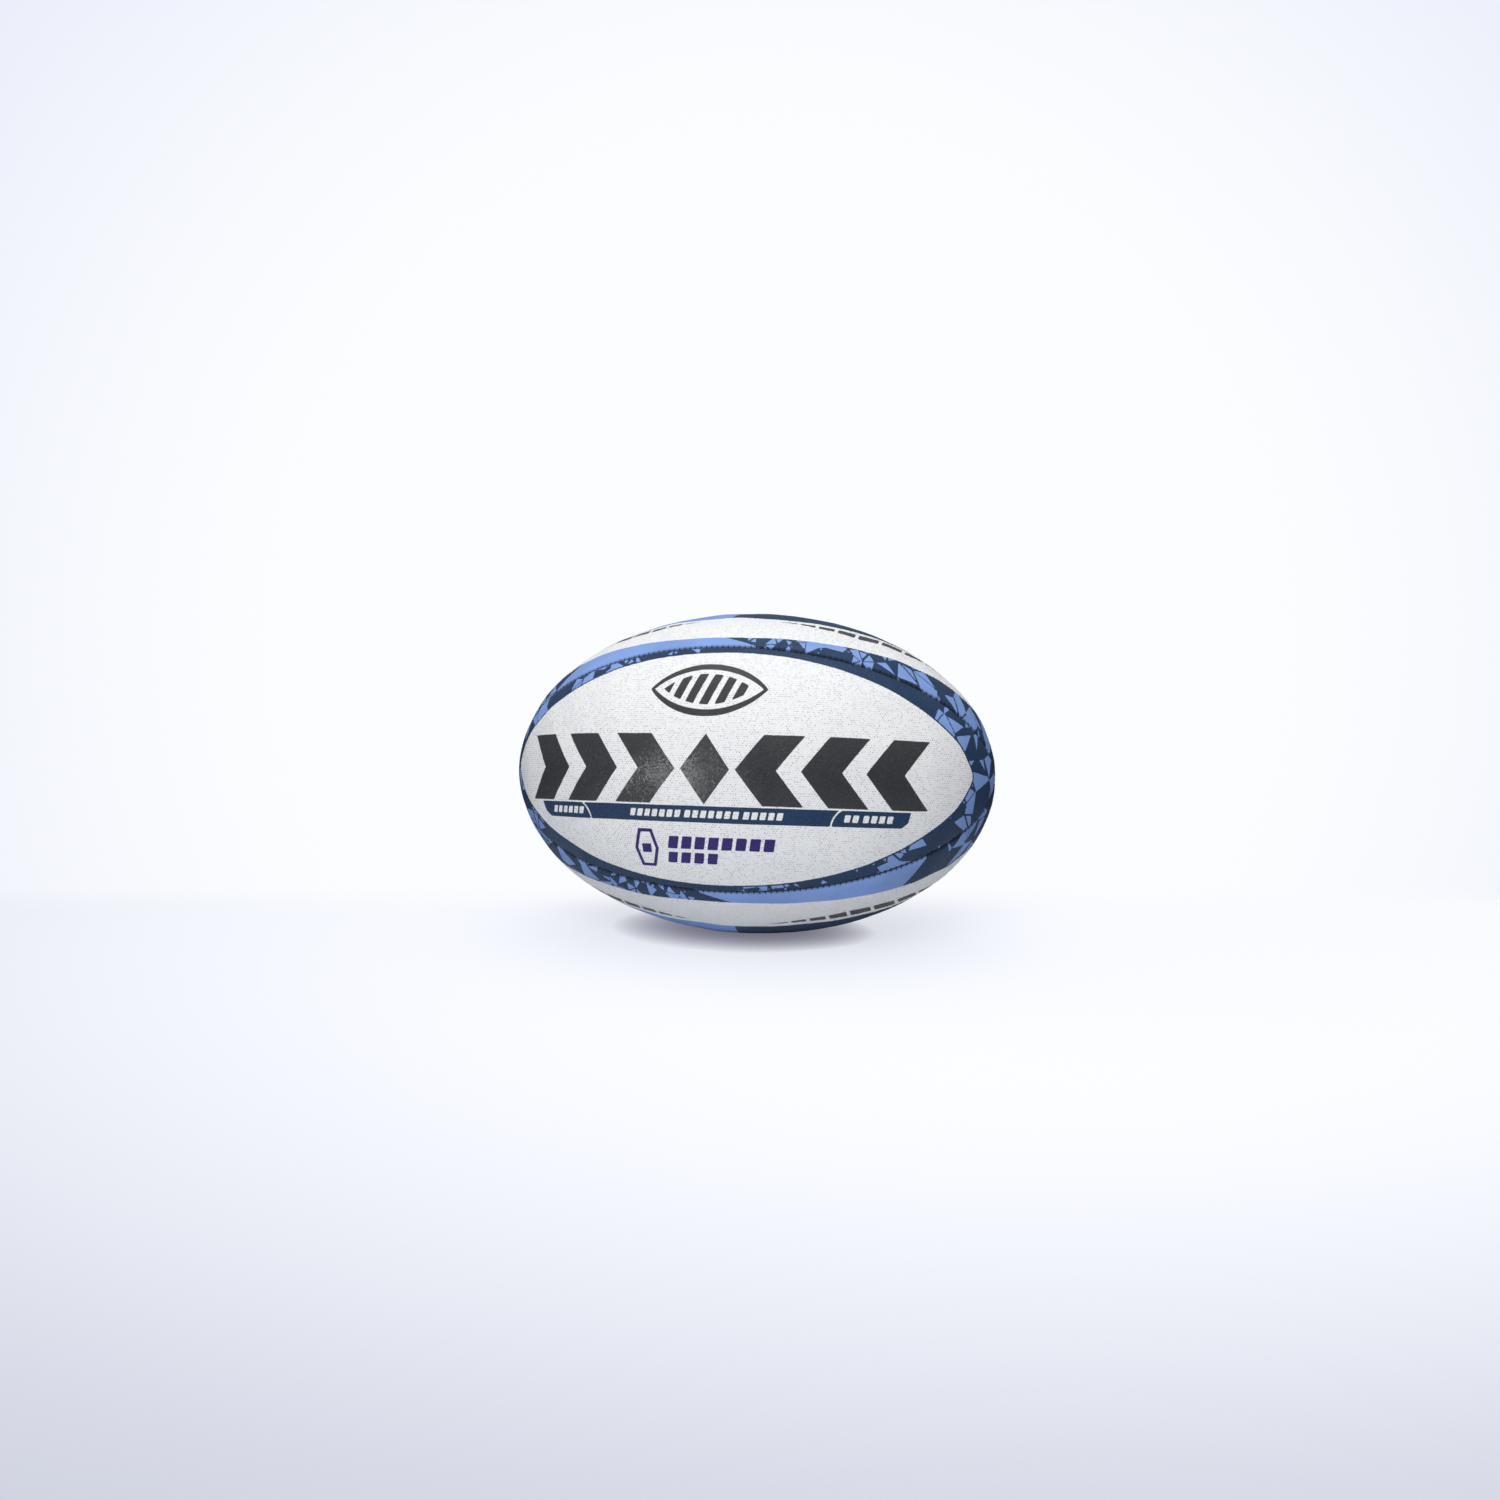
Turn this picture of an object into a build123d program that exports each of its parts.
"""Size 5 rugby ball: four sewn panels over an inflated bladder.

X is the long axis, -Y is the front panel's side and +Z is up.
The origin is the centre of the ball, which lies on its belly.
Every panel is a rubber cover bonded to three fabric plies. The edges of
all four layers turn inward at a seam, where the thread passes through them.
"""
from build123d import *
import os

# Whole ball
ball_length = 289.0
ball_diameter = 191.0
panel_roll = 8.6

# Panel layers, from the outside inward
cover_thickness = 1.1
ply_thickness = 0.45
ply_count = 3
seam_gap = 0.05

# Turned-in edges and their stitches
turned_edge_depth = 5.6
stitch_depth = 4.05
stitch_count = 116
thread_radius = 0.3
thread_clearance = 0.04
pole_clearance_angle = 4.0

# Bladder
bladder_depth = 6.0
bladder_wall = 0.65
end_pad_radius = 4.0
end_pad_thickness = 1.1

# Valve, on the back panel between its middle and the top seam
valve_angle_from_panel_middle = 27.6
valve_hole_radius = 5.0
valve_neck_radius = 4.8
valve_neck_recess = 0.25
valve_flange_radius = 15.0
valve_flange_thickness = 1.6
valve_stem_length = 19.0
valve_bore_radius = 3.0
valve_edge_fillet = 0.6
core_length = 16.0
core_head_recess = 0.8
needle_radius = 1.25
needle_channel_length = 11.0
core_chamber_radius = 1.7
core_chamber_length = 2.0
core_slit_width = 0.15
core_slit_length = 3.6
patch_radius = 21.0
patch_thickness = 0.5

# Derived sizes
half_length = ball_length / 2
half_diameter = ball_diameter / 2
panel_angle = 360 / 4
panel_thickness = cover_thickness + ply_count * ply_thickness
stitch_pair_offset = thread_radius + thread_clearance
stitch_hole_radius = 2 * thread_radius + 2.5 * thread_clearance
stitch_half_span = seam_gap + panel_thickness + thread_radius + thread_clearance
first_panel_turn = -panel_roll
panel_turns = {
    "top": first_panel_turn,
    "front": first_panel_turn + panel_angle,
    "bottom": first_panel_turn + 2 * panel_angle,
    "back": first_panel_turn + 3 * panel_angle,
}
seam_turns = {
    "front_top": panel_turns["front"] - panel_angle / 2,
    "bottom_front": panel_turns["bottom"] - panel_angle / 2,
    "back_bottom": panel_turns["back"] - panel_angle / 2,
    "top_back": panel_turns["top"] - panel_angle / 2,
}
valve_plane = Plane.XY.rotated(
    (panel_turns["back"] + valve_angle_from_panel_middle, 0, 0)
).offset(half_diameter)

# A panel is drawn with its middle at +Z, so its two seams lean by half its angle.
# Its inside lies on the positive side of one seam plane and the negative side of the other.
seam_leans = {-panel_angle / 2: 1, panel_angle / 2: -1}

os.makedirs("parts", exist_ok=True)


def ball_plane(turn):
    """Plane through the long axis, with its own y toward the given turn from +Z."""
    return Plane.XZ.rotated((turn, 0, 0))


def stitch_line(plane):
    """Curve that the thread follows, from near one end of the ball to the other."""
    with BuildLine(plane) as line:
        EllipticalCenterArc(
            (0, 0),
            half_length - stitch_depth,
            half_diameter - stitch_depth,
            start_angle=pole_clearance_angle,
            arc_size=180 - 2 * pole_clearance_angle,
        )
    return line.edge()


def shell_slice(outer_depth, inner_depth, lowest):
    """Half slice of the ball between two depths, above a line near the long axis."""
    Ellipse(half_length - outer_depth, half_diameter - outer_depth)
    Ellipse(half_length - inner_depth, half_diameter - inner_depth, mode=Mode.SUBTRACT)
    with Locations((0, lowest)):
        Rectangle(
            ball_length,
            ball_diameter,
            align=(Align.CENTER, Align.MIN),
            mode=Mode.INTERSECT,
        )


def turned_edge(lean, inward, outer_depth, edge_start, thickness):
    """Edge of one layer, turned in along a seam and punched for the thread."""
    line = stitch_line(Plane.XY)
    holes = [line @ (number / stitch_count) for number in range(stitch_count + 1)]
    with BuildSketch(ball_plane(lean).offset(inward * edge_start)) as outline:
        shell_slice(outer_depth + thickness / 2, turned_edge_depth, edge_start)
        with Locations(*holes):
            Circle(stitch_hole_radius, mode=Mode.SUBTRACT)
    extrude(outline.sketch, amount=inward * thickness)


def panel_layer(outer_depth, edge_start, thickness):
    """One layer of a panel: a quarter of the ball's shell and its two turned edges."""
    with BuildPart() as layer:
        with BuildSketch(ball_plane(-panel_angle / 2)):
            shell_slice(outer_depth, outer_depth + thickness, 0)
        revolve(axis=Axis.X, revolution_arc=panel_angle)
        for lean, inward in seam_leans.items():
            inside = Keep.TOP if inward > 0 else Keep.BOTTOM
            split(bisect_by=ball_plane(lean).offset(inward * edge_start), keep=inside)
        for lean, inward in seam_leans.items():
            turned_edge(lean, inward, outer_depth, edge_start, thickness)
    return layer.part


def shell_of_revolution(outer_depth, inner_depth):
    """Closed shell of the whole ball between two depths."""
    with BuildPart() as shell:
        with BuildSketch(Plane.XZ):
            shell_slice(outer_depth, inner_depth, 0)
        revolve(axis=Axis.X)
    return shell.part


def valve_disc(disc_radius, outer_depth, thickness):
    """Round disc centred on the valve that follows the curve of the ball."""
    with BuildPart() as disc:
        with BuildSketch(valve_plane):
            Circle(disc_radius)
        extrude(amount=-half_diameter)
        add(shell_of_revolution(outer_depth, outer_depth + thickness), mode=Mode.INTERSECT)
    return disc.part


def finish(piece, name):
    """Label a finished piece and write it."""
    piece.part.label = name
    export_step(piece.part, f"parts/{name}.step")


# Panels: the four are alike, apart from the valve's hole in the back one
layer_blanks = {"cover": panel_layer(0, seam_gap, cover_thickness)}
for ply_number in range(ply_count):
    layers_above = cover_thickness + ply_number * ply_thickness
    layer_blanks[f"ply_{ply_number + 1}"] = panel_layer(
        layers_above, seam_gap + layers_above, ply_thickness
    )

for layer_name, blank in layer_blanks.items():
    for panel_name, panel_turn in panel_turns.items():
        with BuildPart() as layer:
            add(blank.rotate(Axis.X, panel_turn))
            if panel_name == "back":
                with Locations(valve_plane):
                    Hole(valve_hole_radius, depth=turned_edge_depth)
        finish(layer, f"{layer_name}_{panel_name}")

# Seam threads: a row of closed stitches through each pair of turned edges
seam_line = stitch_line(Plane.XZ)
stitch_pitch = seam_line.length / stitch_count
with BuildPart() as stitch:
    with BuildSketch() as stitch_loop:
        Rectangle(stitch_pitch - 2 * stitch_pair_offset, 2 * stitch_half_span)
    stitch_path = stitch_loop.face().outer_wire()
    leg = stitch_path.edges()[0]
    with BuildSketch(Plane(leg @ 0.5, z_dir=leg % 0.5)) as thread_section:
        Circle(thread_radius)
    sweep(thread_section.sketch, path=stitch_path, transition=Transition.RIGHT)

stitch_places = []
for stitch_number in range(stitch_count):
    halfway = (stitch_number + 0.5) / stitch_count
    direction = seam_line % halfway
    stitch_places.append(
        Plane(seam_line @ halfway, x_dir=direction, z_dir=direction.cross(Plane.XZ.z_dir))
    )

with BuildPart() as seam_stitches:
    with Locations(*stitch_places):
        add(stitch.part)

for seam_name, seam_turn in seam_turns.items():
    with BuildPart() as thread:
        add(seam_stitches.part.rotate(Axis.X, seam_turn))
    finish(thread, f"seam_thread_{seam_name}")

# Bladder: thicker in a pad at each end, and open only where the valve's stem passes through it
pad_distance = half_length - bladder_depth
with BuildPart() as bladder:
    add(shell_of_revolution(bladder_depth, bladder_depth + bladder_wall))
    with Locations(Plane.YZ.offset(pad_distance), -Plane.YZ.offset(-pad_distance)):
        Cylinder(
            end_pad_radius, end_pad_thickness, align=(Align.CENTER, Align.CENTER, Align.MAX)
        )
    with Locations(valve_plane):
        Hole(valve_neck_radius, depth=half_diameter)
finish(bladder, "bladder")

# Valve housing: a flange bonded to the bladder, and a stem up to the cover
with BuildPart() as valve_housing:
    add(valve_disc(valve_flange_radius, bladder_depth - valve_flange_thickness, valve_flange_thickness))
    with Locations(valve_plane.offset(-valve_neck_recess)):
        Cylinder(valve_neck_radius, valve_stem_length, align=(Align.CENTER, Align.CENTER, Align.MAX))
    fillet(
        valve_housing.edges().filter_by(GeomType.CIRCLE).sort_by(SortBy.DISTANCE)[-1],
        valve_edge_fillet,
    )
    with Locations(valve_plane):
        Hole(valve_bore_radius, depth=half_diameter)
finish(valve_housing, "valve_housing")

# Valve core: a plug with a needle channel, a chamber below it and a self-closing slit
with BuildPart() as valve_core:
    with Locations(valve_plane.offset(-core_head_recess)):
        Cylinder(valve_bore_radius, core_length, align=(Align.CENTER, Align.CENTER, Align.MAX))
        Hole(needle_radius, depth=needle_channel_length)
    with Locations(valve_plane.offset(-core_head_recess - needle_channel_length)):
        Cylinder(
            core_chamber_radius,
            core_chamber_length,
            align=(Align.CENTER, Align.CENTER, Align.MAX),
            mode=Mode.SUBTRACT,
        )
        Box(
            core_slit_length,
            core_slit_width,
            core_length,
            align=(Align.CENTER, Align.CENTER, Align.MAX),
            mode=Mode.SUBTRACT,
        )
finish(valve_core, "valve_core")

# Reinforcing patch inside the back panel, around the valve's hole
with BuildPart() as valve_patch:
    add(valve_disc(patch_radius, panel_thickness, patch_thickness))
    with Locations(valve_plane):
        Hole(valve_hole_radius, depth=turned_edge_depth)
finish(valve_patch, "valve_patch")
